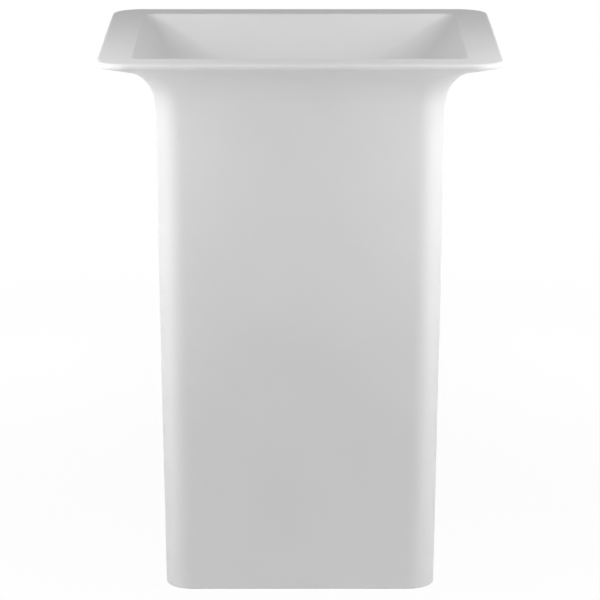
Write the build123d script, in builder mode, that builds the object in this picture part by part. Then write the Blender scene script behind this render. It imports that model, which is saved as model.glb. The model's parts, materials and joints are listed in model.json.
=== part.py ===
from build123d import *

import os
from math import cos, radians, sin, tan

# A freestanding washbasin: one cast body with a wide thin rim, a bowl and a hollow column,
# with its waste, bottle trap, floor brackets and a pull-off panel in the back of the column.
# Millimetres, Z up. The origin is on the floor under the middle of the basin, its front faces -Y.

# Rim
height = 850.0                # top of the rim above the floor
rim_width = 614.0             # left to right
rim_depth = 570.0             # front to back
rim_corner = 49.0             # corner radius of the rim in plan
lip_thickness = 9.0           # nearly full-round edge of the rim, down to where its underside starts
lip_flat = 0.4                # flat left between the edge's two rounds
ledge = 54.0                  # flat ledge between the rim's edge and the mouth of the bowl
underside_slope = 18.0        # fall of the underside behind the lip, degrees

# Column
overhang = 85.0               # from the rim's edge in to the top of the straight column
column_corner = 42.0          # corner radius of the column in plan
column_draft = 0.87           # lean of the column's sides, degrees
flare_radius = 60.0           # hollow curve from the underside into the column
blend_radius = 900.0          # long curve that eases the flare into the straight sides
blend_angle = 3.5             # lean of the sides where the two curves meet, degrees
column_wall = 14.0
base_round = 3.0
edge_round = 1.0              # edges of the rear panel and of its rebate

# Bowl
bowl_depth = 150.0            # rim to the drain
mouth_corner = 14.0
mouth_round = 4.0
bowl_corner = 80.0            # corner radius where the sloping walls end
slope_inset = 51.0            # how far the sloping walls come in
slope_drop = 65.0             # and how far they fall
wall_lean = 87.0              # the bowl's lower walls, degrees below level
waist_radius = 30.0           # bend between the sloping and the lower walls
floor_radius = 40.0           # bend between the lower walls and the floor
floor_fall = 8.0              # fall of the bowl's floor towards the drain
floor_heading = 4.0           # slope where the floor's bend ends, degrees
drain_floor = 18.0            # thickness of the floor at the drain
drain_margin = 3.0            # level ring round the flange of the waste
drain_side = 2.0              # straight sides left in the nearly round edge of that ring
cavity_round = 20.0           # round where the column's inside meets the bowl's underside

# Stations in each curved run of the body's lofts
flare_steps = 8
blend_steps = 3
waist_steps = 3
floor_steps = 5

# Making
overshoot = 5.0               # how far a cut runs past the face that it opens
pick = 0.01                   # how closely edges are picked by their place

# Clearances
thread_gap = 0.05             # threads that hold, modelled as plain turned faces
bond_gap = 0.05               # glued and cast-in pieces
slide_gap = 0.08              # radial gap of a piece that slides in its guide
slip_gap = 0.3                # tubes that pass through the trap's necks
rest_gap = 0.3                # between pieces of different bodies that rest on each other

# Waste
flange_radius = 32.0
flange_thickness = 2.5
flange_gap = 0.5              # between the flange and its seat in the bowl's floor
flange_bevel = 0.8
seal_thickness = 1.5
seal_inset = 1.0              # of the seal's edge from the flange's
tail_radius = 20.95           # threaded tail of the waste
tail_wall = 2.45
tail_length = 78.0            # below the flange
tail_room = 2.05              # between the tail and its hole in the floor of the bowl
mouth_bevel = 2.0             # of the bore at the flange
cross_drop = 38.0             # from the flange's top to the cross bar's top
cross_height = 8.0
cross_width = 4.0
cross_arms = 3
hub_radius = 8.0
gasket_radius = 31.0
gasket_taper = 2.0
gasket_thickness = 5.0
slip_washer_radius = 29.0
slip_washer_thickness = 1.5
back_nut_wall = 6.0            # between its thread and its flats
back_nut_thickness = 9.0

# Push plug
plug_travel = 9.0
cap_radius = 31.0
cap_thickness = 4.0
cap_edge_round = 1.5
cap_crown = 1.2               # rise of the cap's middle
plug_seal_inner = 21.5
plug_seal_outer = 25.5
plug_seal_thickness = 1.2
stem_radius = 2.5
stem_engaged = 20.5           # length of stem left in the cartridge when the plug is up
cartridge_radius = 7.0
cartridge_height = 20.0       # above the cross bar
cartridge_screw_radius = 4.0
cartridge_end_gap = 3.0       # under the stem when the plug is down
cartridge_end_wall = 1.5

# Bottle trap
tube_radius = 16.0
tube_wall = 1.6
tube_flange_room = 1.0        # between the tube's flange and the nut's thread
tube_flange_thickness = 2.0
washer_thickness = 2.5
inlet_nut_wall = 5.0
inlet_nut_height = 18.0
tube_exposed = 42.0           # inlet tube between its nut and the trap's head nut
head_radius = 33.0
head_wall = 3.0
head_half_height = 23.0
head_shoulder = 6.0           # bevel round the head's top
neck_wall = 5.2               # of the head's threaded necks
neck_length = 18.0
skirt_length = 14.0           # threaded skirt that the cup screws on to
cup_step = 1.0                # from the head's side out to the cup's
cup_wall = 2.5
cup_depth = 92.0
cup_round = 14.0
cup_seal_thickness = 2.0
dip_depth = 75.0              # end of the inlet tube below the outlet's centre line
cone_seal_height = 5.0
cone_seal_step = 2.0
ring_nut_wall = 4.45
ring_nut_height = 22.0
ring_nut_lip = 3.5
nut_grips = 12                # finger grips round each plastic nut
grip_depth = 1.2
grip_radius = 3.0

# Outlet pipe
pipe_radius = 16.0
pipe_wall = 1.8
pipe_bend = 45.0
pipe_run = 16.0               # straight part between the trap and the bend
pipe_insert = 14.0            # how far the pipe enters the trap's neck
pipe_end = 25.0               # free end above the floor

# Floor brackets
bracket_length = 90.0
bracket_foot = 42.0
bracket_upright = 52.0
bracket_thickness = 3.0
bracket_bend = 3.0            # inside radius of the bend
pad_thickness = 11.0          # of the cast pads inside the side walls
pad_length = 112.0
pad_height = 62.0
pad_round = 6.0
floor_hole_radius = 4.5
floor_hole_spacing = 60.0
floor_hole_inset = 24.0       # from the upright's outer face
screw_height = 34.0
screw_spacing = 50.0
screw_hole_radius = 3.4
screw_radius = 3.0
screw_length = 10.0           # beyond the bracket
screw_head_across_flats = 10.0
screw_head_height = 4.0
bracket_washer_radius = 6.0
bracket_washer_thickness = 1.6
insert_radius = 4.5
insert_length = 12.0

# Rear panel
panel_width = 250.0
panel_bottom = 90.0
panel_top = 520.0
panel_corner = 16.0
panel_thickness = 8.0
panel_gap = 1.5               # all round the panel
panel_ledge = 20.0            # the rebate that the panel lies in
keeper_radius = 7.0
keeper_thickness = 1.5
magnet_radius = 6.0
magnet_thickness = 3.0
magnet_edge = 10.5            # from the panel's edges to each magnet's centre
notch_radius = 16.0           # finger notch in the panel's lower edge


def bend(start, radius, first, last, steps):
    """Stations along an arc whose heading turns from first to last, in degrees below level."""
    inset, level = start
    stations = []
    for step in range(1, steps + 1):
        heading = radians(first + (last - first) * step / steps)
        across = radius * abs(sin(heading) - sin(radians(first)))
        down = radius * abs(cos(heading) - cos(radians(first)))
        stations.append((inset + across, level - down))
    return stations


def turn(corners, plane=Plane.XY, mode=Mode.ADD):
    """Turn a closed outline of (radius, height) corners about the Z axis of a plane."""
    with BuildSketch(Plane(plane.origin, x_dir=plane.x_dir, z_dir=-plane.y_dir)) as outline:
        with BuildLine():
            Polyline(corners, close=True)
        make_face()
    revolve(outline.sketch, axis=Axis(plane.origin, plane.z_dir), mode=mode)


def ring(inner, outer, bottom, top, plane=Plane.XY, mode=Mode.ADD):
    """A plain ring between two radii and two heights on a plane's Z axis."""
    turn([(inner, bottom), (outer, bottom), (outer, top), (inner, top)], plane, mode)


# The outside of the body: stations (inset from the rim's edge, height) down the underside,
# round the flare and into the straight sides of the column.
lip_bottom = height - lip_thickness
draft_heading = 90 - column_draft
blend_heading = 90 - blend_angle
flare_across = flare_radius * (sin(radians(blend_heading)) - sin(radians(underside_slope)))
blend_across = blend_radius * (sin(radians(draft_heading)) - sin(radians(blend_heading)))
underside_run = overhang - flare_across - blend_across
flare_top = (underside_run, lip_bottom - underside_run * tan(radians(underside_slope)))
flare = bend(flare_top, flare_radius, underside_slope, blend_heading, flare_steps)
blend = bend(flare[-1], blend_radius, blend_heading, draft_heading, blend_steps)
straight_top = blend[-1][1]
base_inset = overhang + straight_top * tan(radians(column_draft))


def body_section(inset, level, inward=0.0):
    """The body's rounded rectangle at a station, drawn in by a wall where one is given."""
    share = min(inset / overhang, 1.0)
    corner = rim_corner + (column_corner - rim_corner) * share - inward
    width = rim_width - 2 * (inset + inward)
    depth = rim_depth - 2 * (inset + inward)
    with BuildSketch(Plane.XY.offset(level)) as section:
        RectangleRounded(width, depth, corner)
    return section.sketch


with BuildPart() as outer_form:
    loft([body_section(base_inset, 0), body_section(*blend[-1])], ruled=True)
    loft([body_section(*station) for station in [flare[-1], *blend]])
    loft([body_section(*station) for station in [flare_top, *flare]])
    loft([body_section(*flare_top), body_section(0.0, lip_bottom)], ruled=True)
    extrude(outer_form.faces().sort_by(Axis.Z)[-1], amount=lip_thickness)
    # Both rounds of the lip have one radius. The lower one turns less, so it takes less of the face.
    lip_round = (lip_thickness - lip_flat) / (1 + tan(radians((90 - underside_slope) / 2)))
    fillet(outer_form.edges().group_by(Axis.Z)[-1], lip_round)
    lower_edge = outer_form.edges().filter_by_position(Axis.Z, lip_bottom - pick, lip_bottom + pick)
    fillet(lower_edge, lip_round)
    fillet(outer_form.edges().group_by(Axis.Z)[0], base_round)

# The hollow of the bowl: sloping walls from the mouth, steep lower walls, and a floor that
# falls to the drain.
mouth_width = rim_width - 2 * ledge
mouth_depth = rim_depth - 2 * ledge
drain_level = height - bowl_depth
slope_heading = 90 - Vector(slope_drop, slope_inset).get_angle(Vector(1, 0))
slope_foot = (slope_inset, height - slope_drop)
waist = bend(slope_foot, waist_radius, slope_heading, wall_lean, waist_steps)
floor_edge_level = drain_level + floor_fall
bend_drop = floor_radius * (cos(radians(floor_heading)) - cos(radians(wall_lean)))
bend_level = floor_edge_level + bend_drop
bend_inset = waist[-1][0] + (waist[-1][1] - bend_level) / tan(radians(wall_lean))
floor_bend = bend((bend_inset, bend_level), floor_radius, wall_lean, floor_heading, floor_steps)
drain_flat = flange_radius + drain_margin


def bowl_section(inset, level):
    """The bowl's rounded rectangle at an inset from its mouth."""
    opening = min(inset / slope_inset, 1.0)
    closing = max(inset - bend_inset, 0.0)
    corner = mouth_corner + (bowl_corner - mouth_corner) * opening - closing
    with BuildSketch(Plane.XY.offset(level)) as section:
        RectangleRounded(mouth_width - 2 * inset, mouth_depth - 2 * inset, corner)
    return section.sketch


with BuildPart() as bowl_form:
    wall_foot = (bend_inset, bend_level)
    loft([bowl_section(0, height), bowl_section(*slope_foot)], ruled=True)
    loft([bowl_section(*station) for station in [slope_foot, *waist]])
    loft([bowl_section(*waist[-1]), bowl_section(*wall_foot)], ruled=True)
    loft([bowl_section(*station) for station in [wall_foot, *floor_bend]])
    with BuildSketch(Plane.XY.offset(drain_level)) as drain_edge:
        RectangleRounded(2 * drain_flat, 2 * drain_flat, drain_flat - drain_side / 2)
    loft([bowl_section(*floor_bend[-1]), drain_edge.sketch], ruled=True)

# The hollow of the column, open at the floor.
cavity_top = drain_level - drain_floor
with BuildPart() as cavity_form:
    cavity_inset = base_inset - cavity_top * tan(radians(column_draft))
    mouth = body_section(base_inset, 0, column_wall)
    ceiling = body_section(cavity_inset, cavity_top, column_wall)
    loft([mouth, ceiling], ruled=True)
    fillet(cavity_form.edges().group_by(Axis.Z)[-1], cavity_round)


def rear_face(level):
    """Y of the column's leaning rear face at a height."""
    return rim_depth / 2 - base_inset + level * tan(radians(column_draft))


def rear_slab(width, bottom, top, outer, inner, corner):
    """A slab in the leaning rear wall, between two distances behind its outer face."""
    with BuildPart() as slab:
        with BuildSketch(Plane.YZ):
            with BuildLine():
                Polyline(
                    (rear_face(bottom) - outer, bottom),
                    (rear_face(top) - outer, top),
                    (rear_face(top) - inner, top),
                    (rear_face(bottom) - inner, bottom),
                    close=True,
                )
            make_face()
        extrude(amount=width / 2, both=True)
        fillet(slab.edges().filter_by(Axis.Y), corner)
    return slab.part


rebate_depth = panel_thickness + rest_gap
rebate = rear_slab(
    panel_width + 2 * panel_gap,
    panel_bottom - panel_gap,
    panel_top + panel_gap,
    -overshoot,
    rebate_depth,
    panel_corner + panel_gap,
)
service_opening = rear_slab(
    panel_width - 2 * panel_ledge,
    panel_bottom + panel_ledge,
    panel_top - panel_ledge,
    -overshoot,
    column_wall + overshoot,
    panel_corner,
)

# Places of the panel's magnets and keepers, one near each corner.
magnet_x = panel_width / 2 - magnet_edge
magnet_levels = (panel_bottom + magnet_edge + panel_corner, panel_top - magnet_edge - panel_corner)
magnet_places = [(side * magnet_x, level) for side in (-1, 1) for level in magnet_levels]


def rear_plane(x, level, behind):
    """A plane square to the leaning rear face, facing out, at a depth behind it."""
    outward = Vector(0, cos(radians(column_draft)), -sin(radians(column_draft)))
    origin = Vector(x, rear_face(level), level) - outward * behind
    return Plane(origin, x_dir=(-1, 0, 0), z_dir=outward)


# Places of the floor brackets and of their screws.
sides = (-1, 1)
bracket_face = rim_width / 2 - base_inset - column_wall - pad_thickness
screw_places = [(side, y) for side in sides for y in (-screw_spacing / 2, screw_spacing / 2)]


def side_plane(side, distance, y, level):
    """A plane facing the middle of the basin from one side."""
    return Plane((side * distance, y, level), x_dir=(0, 1, 0), z_dir=(-side, 0, 0))


with BuildPart() as basin_body:
    add(outer_form.part)
    add(cavity_form.part, mode=Mode.SUBTRACT)
    # Cast pads inside the side walls carry the floor brackets.
    pad_depth = pad_thickness + column_wall / 2
    for side in sides:
        with Locations((side * (bracket_face + pad_depth / 2), 0, pad_height / 2)):
            Box(pad_depth, pad_length, pad_height)
    upright_edges = basin_body.edges().filter_by(Axis.Z)
    fillet(upright_edges.filter_by_position(Axis.X, -bracket_face - pick, bracket_face + pick), pad_round)
    add(bowl_form.part, mode=Mode.SUBTRACT)
    top_edges = basin_body.edges().group_by(Axis.Z)[-1]
    mouth_reach = mouth_width / 2 + pick
    fillet(top_edges.filter_by_position(Axis.X, -mouth_reach, mouth_reach), mouth_round)
    # Seat and hole of the waste.
    with Locations((0, 0, drain_level)):
        CounterBoreHole(
            radius=tail_radius + tail_room,
            counter_bore_radius=flange_radius + flange_gap,
            counter_bore_depth=flange_thickness + seal_thickness,
            depth=drain_floor + overshoot,
        )
    # Rebate and opening in the back of the column.
    add(rebate, mode=Mode.SUBTRACT)
    over_panel = panel_top + panel_ledge
    rear_wall = basin_body.faces().sort_by_distance((0, rear_face(over_panel), over_panel))[0]
    fillet(rear_wall.inner_wires()[0].edges(), edge_round)
    add(service_opening, mode=Mode.SUBTRACT)
    for x, level in magnet_places:
        with BuildSketch(rear_plane(x, level, rebate_depth + keeper_thickness)):
            Circle(keeper_radius + bond_gap)
        extrude(amount=keeper_thickness + overshoot, mode=Mode.SUBTRACT)
    # Room for a finger behind the notch in the panel.
    with Locations((0, rear_face(panel_bottom), panel_bottom + (panel_ledge - panel_gap) / 2)):
        through_wall = 2 * (column_wall + overshoot)
        Box(2 * notch_radius, through_wall, panel_ledge + panel_gap, mode=Mode.SUBTRACT)
    # Blind holes for the cast-in nuts.
    for side, y in screw_places:
        with BuildSketch(side_plane(side, bracket_face + insert_length, y, screw_height)):
            Circle(insert_radius + bond_gap)
        extrude(amount=insert_length + overshoot, mode=Mode.SUBTRACT)
basin_body.part.label = "basin_body"

# Cast-in nuts, brackets, screws and washers.
with BuildPart() as screw_inserts:
    for side, y in screw_places:
        plane = side_plane(side, bracket_face + insert_length, y, screw_height)
        ring(screw_radius + thread_gap, insert_radius, 0, insert_length, plane)
screw_inserts.part.label = "screw_inserts"


# A bent steel angle on each side: an upright against the cast pad and a foot on the floor.
brackets = []
for side, label in ((-1, "floor_bracket_left"), (1, "floor_bracket_right")):
    with BuildPart() as floor_bracket:
        with BuildSketch(Plane((side * bracket_face, 0, 0), x_dir=(-side, 0, 0), z_dir=(0, side, 0))):
            with BuildLine():
                Polyline(
                    (0, 0),
                    (bracket_foot, 0),
                    (bracket_foot, bracket_thickness),
                    (bracket_thickness, bracket_thickness),
                    (bracket_thickness, bracket_upright),
                    (0, bracket_upright),
                    close=True,
                )
            make_face()
        extrude(amount=bracket_length / 2, both=True)
        bend_edges = floor_bracket.edges().filter_by(Axis.Y)
        hollow = (side * (bracket_face - bracket_thickness), 0, bracket_thickness)
        fillet(bend_edges.sort_by_distance(hollow)[0], bracket_bend)
        heel_edges = floor_bracket.edges().filter_by(Axis.Y)
        heel = (side * bracket_face, 0, 0)
        fillet(heel_edges.sort_by_distance(heel)[0], bracket_bend + bracket_thickness)
        with BuildSketch(Plane.XY):
            for y in (-floor_hole_spacing / 2, floor_hole_spacing / 2):
                with Locations((side * (bracket_face - floor_hole_inset), y)):
                    Circle(floor_hole_radius)
        extrude(amount=bracket_thickness, mode=Mode.SUBTRACT)
        for y in (-screw_spacing / 2, screw_spacing / 2):
            with BuildSketch(side_plane(side, bracket_face, y, screw_height)):
                Circle(screw_hole_radius)
            extrude(amount=bracket_thickness, mode=Mode.SUBTRACT)
    floor_bracket.part.label = label
    brackets.append(floor_bracket)

washer_face = bracket_face - bracket_thickness
with BuildPart() as bracket_washers:
    for side, y in screw_places:
        plane = side_plane(side, washer_face, y, screw_height)
        ring(screw_hole_radius, bracket_washer_radius, 0, bracket_washer_thickness, plane)
bracket_washers.part.label = "bracket_washers"

with BuildPart() as bracket_screws:
    for side, y in screw_places:
        head_face = washer_face - bracket_washer_thickness
        with BuildSketch(side_plane(side, head_face, y, screw_height)):
            RegularPolygon(screw_head_across_flats / 2, 6, major_radius=False)
        extrude(amount=screw_head_height)
        with BuildSketch(side_plane(side, bracket_face + screw_length, y, screw_height)):
            Circle(screw_radius)
        extrude(amount=bracket_face + screw_length - head_face)
bracket_screws.part.label = "bracket_screws"

# The waste: its heights are measured from the flange's top, level with the drain.
waste = Plane.XY.offset(drain_level)
tail_end = -flange_thickness - tail_length
tail_bore = tail_radius - tail_wall
thread_bore = tail_radius + thread_gap

with BuildPart() as waste_body:
    turn(
        [
            (tail_bore + mouth_bevel, 0),
            (flange_radius - flange_bevel, 0),
            (flange_radius, -flange_bevel),
            (flange_radius, -flange_thickness),
            (tail_radius, -flange_thickness),
            (tail_radius, tail_end),
            (tail_bore, tail_end),
            (tail_bore, -mouth_bevel),
        ],
        waste,
    )
    # A cross bar inside the tail holds the push cartridge.
    cross_middle = drain_level - cross_drop - cross_height / 2
    arm_length = tail_bore + (tail_radius - tail_bore) / 2
    with Locations((0, 0, cross_middle)):
        with PolarLocations(arm_length / 2, cross_arms):
            Box(arm_length, cross_width, cross_height)
        Cylinder(hub_radius, cross_height)
        Cylinder(cartridge_screw_radius + thread_gap, cross_height, mode=Mode.SUBTRACT)
waste_body.part.label = "waste_body"

seat_level = -flange_thickness - seal_thickness
with BuildPart() as waste_seal:
    ring(thread_bore, flange_radius - seal_inset, seat_level, -flange_thickness, waste)
waste_seal.part.label = "waste_seal"

gasket_top = -drain_floor
gasket_bottom = gasket_top - gasket_thickness
with BuildPart() as waste_gasket:
    turn(
        [
            (thread_bore, gasket_bottom),
            (gasket_radius - gasket_taper, gasket_bottom),
            (gasket_radius, gasket_top),
            (thread_bore, gasket_top),
        ],
        waste,
    )
waste_gasket.part.label = "waste_gasket"

nut_top = gasket_bottom - slip_washer_thickness
with BuildPart() as slip_washer:
    ring(thread_bore, slip_washer_radius, nut_top, gasket_bottom, waste)
slip_washer.part.label = "slip_washer"

with BuildPart() as back_nut:
    with BuildSketch(waste.offset(nut_top)):
        RegularPolygon(thread_bore + back_nut_wall, 6, major_radius=False)
        Circle(thread_bore, mode=Mode.SUBTRACT)
    extrude(amount=-back_nut_thickness)
back_nut.part.label = "back_nut"

# The push cartridge stands on the cross bar and guides the plug's stem.
cartridge_foot = -cross_drop
cartridge_top = cartridge_foot + cartridge_height
cap_bottom = rest_gap + plug_seal_thickness
stem_length = cap_bottom - cartridge_top + plug_travel + stem_engaged
cartridge_floor = cap_bottom - stem_length - cartridge_end_gap
cartridge_end = cartridge_floor - cartridge_end_wall
with BuildPart() as push_cartridge:
    turn(
        [
            (0, cartridge_end),
            (cartridge_screw_radius, cartridge_end),
            (cartridge_screw_radius, cartridge_foot),
            (cartridge_radius, cartridge_foot),
            (cartridge_radius, cartridge_top),
            (stem_radius + slide_gap, cartridge_top),
            (stem_radius + slide_gap, cartridge_floor),
            (0, cartridge_floor),
        ],
        waste,
    )
push_cartridge.part.label = "push_cartridge"

# The plug, pushed down. It rises by its travel when pushed again.
with BuildPart() as plug_seal:
    ring(plug_seal_inner, plug_seal_outer, rest_gap, cap_bottom, waste)
plug_seal.part.label = "plug_seal"

with BuildPart() as plug_cap:
    cap_top = cap_bottom + cap_thickness
    round_foot = (cap_radius, cap_top - cap_edge_round)
    crown_edge = (cap_radius - cap_edge_round, cap_top)
    crown_radius = (crown_edge[0] ** 2 + cap_crown**2) / (2 * cap_crown)
    with BuildSketch(Plane((0, 0, drain_level), x_dir=(1, 0, 0), z_dir=(0, -1, 0))):
        with BuildLine():
            Polyline((0, cap_top + cap_crown), (0, cap_bottom), (cap_radius, cap_bottom), round_foot)
            RadiusArc(round_foot, crown_edge, -cap_edge_round)
            RadiusArc(crown_edge, (0, cap_top + cap_crown), -crown_radius)
        make_face()
    revolve(axis=Axis.Z)
plug_cap.part.label = "plug_cap"

with BuildPart() as plug_stem:
    with BuildSketch(waste.offset(cap_bottom)):
        Circle(stem_radius)
    extrude(amount=-stem_length)
plug_stem.part.label = "plug_stem"

# The bottle trap. Its inlet hangs on the waste's tail, and its outlet's centre line follows from
# the stack of nuts, tube and necks below it.
washer_top = drain_level + tail_end
tube_top = washer_top - washer_thickness
tube_bore = tube_radius - tube_wall
tube_flange_radius = thread_bore - tube_flange_room
inlet_nut_bottom = tube_top - tube_flange_thickness - ring_nut_lip
neck_top = head_half_height + neck_length
head_nut_top = neck_top + cone_seal_height + ring_nut_lip
outlet_height = inlet_nut_bottom - tube_exposed - head_nut_top
with BuildPart() as inlet_washer:
    ring(tube_bore, tube_flange_radius, tube_top, washer_top)
inlet_washer.part.label = "inlet_washer"

with BuildPart() as inlet_tube:
    dip_end = outlet_height - dip_depth
    turn(
        [
            (tube_bore, dip_end),
            (tube_radius, dip_end),
            (tube_radius, tube_top - tube_flange_thickness),
            (tube_flange_radius, tube_top - tube_flange_thickness),
            (tube_flange_radius, tube_top),
            (tube_bore, tube_top),
        ]
    )
inlet_tube.part.label = "inlet_tube"


def ring_nut(plane, passing, thread, wall, length):
    """A plastic ring nut with finger grips: its lip lies on the plane, round the passing pipe,
    and its threaded bore opens along Z."""
    radius = thread + wall
    with BuildSketch(plane) as grips:
        Circle(radius)
        with PolarLocations(radius + grip_radius - grip_depth, nut_grips):
            Circle(grip_radius, mode=Mode.SUBTRACT)
        Circle(passing + bond_gap, mode=Mode.SUBTRACT)
    extrude(grips.sketch, amount=length)
    with BuildSketch(plane.offset(ring_nut_lip)) as bore:
        Circle(thread)
    extrude(bore.sketch, amount=length, mode=Mode.SUBTRACT)


with BuildPart() as inlet_nut:
    lip_plane = Plane.XY.offset(inlet_nut_bottom)
    ring_nut(lip_plane, tube_radius, thread_bore, inlet_nut_wall, inlet_nut_height)
inlet_nut.part.label = "inlet_nut"

trap = Plane.XY.offset(outlet_height)
outlet = Plane((0, 0, outlet_height), x_dir=(1, 0, 0), z_dir=(0, 1, 0))
neck_radius = tube_radius + slip_gap + neck_wall
neck_thread = neck_radius + thread_gap
cup_radius = head_radius + cup_step
skirt_radius = cup_radius - cup_wall - thread_gap
skirt_bore = skirt_radius - head_wall
neck_end = head_radius + neck_length
with BuildPart() as trap_head:
    turn(
        [
            (0, -head_half_height - skirt_length),
            (skirt_radius, -head_half_height - skirt_length),
            (skirt_radius, -head_half_height),
            (head_radius, -head_half_height),
            (head_radius, head_half_height - head_shoulder),
            (head_radius - head_shoulder, head_half_height),
            (neck_radius, head_half_height),
            (neck_radius, neck_top),
            (0, neck_top),
        ],
        trap,
    )
    with BuildSketch(outlet):
        Circle(neck_radius)
    extrude(amount=neck_end)
    turn(
        [
            (0, -head_half_height - skirt_length),
            (skirt_bore, -head_half_height - skirt_length),
            (skirt_bore, head_half_height - head_shoulder - head_wall),
            (skirt_bore - head_shoulder, head_half_height - head_wall),
            (0, head_half_height - head_wall),
        ],
        trap,
        Mode.SUBTRACT,
    )
    ring(0, tube_radius + slip_gap, 0, neck_top, trap, Mode.SUBTRACT)
    ring(0, pipe_radius + slip_gap, 0, neck_end, outlet, Mode.SUBTRACT)
trap_head.part.label = "trap_head"

with BuildPart() as head_cone_seal:
    turn(
        [
            (tube_radius + bond_gap, neck_top),
            (neck_radius - cone_seal_step, neck_top),
            (tube_radius + cone_seal_step, neck_top + cone_seal_height),
            (tube_radius + bond_gap, neck_top + cone_seal_height),
        ],
        trap,
    )
head_cone_seal.part.label = "head_cone_seal"

with BuildPart() as head_nut:
    lip_plane = Plane((0, 0, outlet_height + head_nut_top), x_dir=(1, 0, 0), z_dir=(0, 0, -1))
    ring_nut(lip_plane, tube_radius, neck_thread, ring_nut_wall, ring_nut_height)
head_nut.part.label = "head_nut"

with BuildPart() as cup_seal:
    seal_bottom = -head_half_height - cup_seal_thickness
    ring(skirt_radius + bond_gap, cup_radius, seal_bottom, -head_half_height, trap)
cup_seal.part.label = "cup_seal"

with BuildPart() as trap_cup:
    with BuildSketch(trap.offset(seal_bottom)):
        Circle(cup_radius)
    extrude(amount=-cup_depth)
    fillet(trap_cup.edges().group_by(Axis.Z)[0], cup_round)
    offset(amount=-cup_wall, openings=trap_cup.faces().sort_by(Axis.Z)[-1])
trap_cup.part.label = "trap_cup"

with BuildPart() as outlet_cone_seal:
    turn(
        [
            (pipe_radius + bond_gap, neck_end),
            (neck_radius - cone_seal_step, neck_end),
            (pipe_radius + cone_seal_step, neck_end + cone_seal_height),
            (pipe_radius + bond_gap, neck_end + cone_seal_height),
        ],
        outlet,
    )
outlet_cone_seal.part.label = "outlet_cone_seal"

nut_end = neck_end + cone_seal_height + ring_nut_lip
with BuildPart() as outlet_nut:
    lip_plane = Plane((0, nut_end, outlet_height), x_dir=(1, 0, 0), z_dir=(0, -1, 0))
    ring_nut(lip_plane, pipe_radius, neck_thread, ring_nut_wall, ring_nut_height)
outlet_nut.part.label = "outlet_nut"

# One pipe bends from the trap's outlet down to the floor.
pipe_start = neck_end - pipe_insert
pipe_drop = nut_end + pipe_run + pipe_bend
with BuildPart() as outlet_pipe:
    with BuildLine():
        FilletPolyline(
            (0, pipe_start, outlet_height),
            (0, pipe_drop, outlet_height),
            (0, pipe_drop, pipe_end),
            radius=pipe_bend,
        )
    with BuildSketch(outlet.offset(pipe_start)):
        Circle(pipe_radius)
        Circle(pipe_radius - pipe_wall, mode=Mode.SUBTRACT)
    sweep()
outlet_pipe.part.label = "outlet_pipe"

# The rear panel lies flush in its rebate, held by magnets against steel keepers.
panel_slab = rear_slab(panel_width, panel_bottom, panel_top, 0, panel_thickness, panel_corner)
with BuildPart() as rear_panel:
    add(panel_slab)
    with BuildSketch(Plane.XZ):
        with Locations((0, panel_bottom)):
            Circle(notch_radius)
    extrude(amount=-rim_depth / 2, mode=Mode.SUBTRACT)
    fillet(rear_panel.faces().sort_by(Axis.Y)[-1].edges(), edge_round)
    for x, level in magnet_places:
        with BuildSketch(rear_plane(x, level, panel_thickness)):
            Circle(magnet_radius + bond_gap)
        extrude(amount=magnet_thickness, mode=Mode.SUBTRACT)
rear_panel.part.label = "rear_panel"

with BuildPart() as panel_magnets:
    for x, level in magnet_places:
        with BuildSketch(rear_plane(x, level, panel_thickness)):
            Circle(magnet_radius)
        extrude(amount=magnet_thickness)
panel_magnets.part.label = "panel_magnets"

with BuildPart() as panel_keepers:
    for x, level in magnet_places:
        with BuildSketch(rear_plane(x, level, rebate_depth + keeper_thickness)):
            Circle(keeper_radius)
        extrude(amount=keeper_thickness)
panel_keepers.part.label = "panel_keepers"

pieces = [
    basin_body,
    screw_inserts,
    *brackets,
    bracket_washers,
    bracket_screws,
    waste_body,
    waste_seal,
    waste_gasket,
    slip_washer,
    back_nut,
    push_cartridge,
    plug_seal,
    plug_cap,
    plug_stem,
    inlet_washer,
    inlet_tube,
    inlet_nut,
    trap_head,
    head_cone_seal,
    head_nut,
    cup_seal,
    trap_cup,
    outlet_cone_seal,
    outlet_nut,
    outlet_pipe,
    rear_panel,
    panel_magnets,
    panel_keepers,
]
os.makedirs("parts", exist_ok=True)
for piece in pieces:
    export_step(piece.part, f"parts/{piece.part.label}.step")
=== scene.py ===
import json
from math import atan2, cos, degrees, hypot, pi, radians, sin, tan

import bpy
import numpy as np
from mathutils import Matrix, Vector


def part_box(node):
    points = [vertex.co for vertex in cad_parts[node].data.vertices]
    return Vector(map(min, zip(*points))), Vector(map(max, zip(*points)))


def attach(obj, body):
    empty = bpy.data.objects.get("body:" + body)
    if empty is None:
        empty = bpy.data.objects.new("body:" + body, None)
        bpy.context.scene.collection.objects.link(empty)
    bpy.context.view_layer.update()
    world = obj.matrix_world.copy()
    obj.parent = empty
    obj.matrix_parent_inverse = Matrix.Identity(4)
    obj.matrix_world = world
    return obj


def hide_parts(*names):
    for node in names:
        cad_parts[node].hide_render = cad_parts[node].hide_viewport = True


# A freestanding washbasin in metres: a cast white body with a rim, a bowl and a hollow column, and
# what it holds. The front faces -Y and the floor is at Z = 0. Angles are in degrees.

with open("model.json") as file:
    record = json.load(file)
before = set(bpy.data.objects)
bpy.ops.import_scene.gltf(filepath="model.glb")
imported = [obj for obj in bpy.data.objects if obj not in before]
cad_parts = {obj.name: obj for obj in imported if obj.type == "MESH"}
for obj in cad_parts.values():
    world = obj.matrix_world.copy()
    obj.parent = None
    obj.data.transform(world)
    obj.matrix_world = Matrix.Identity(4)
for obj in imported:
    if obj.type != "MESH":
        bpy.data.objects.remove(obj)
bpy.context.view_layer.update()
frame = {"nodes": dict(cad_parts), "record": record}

MM = 0.001

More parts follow.
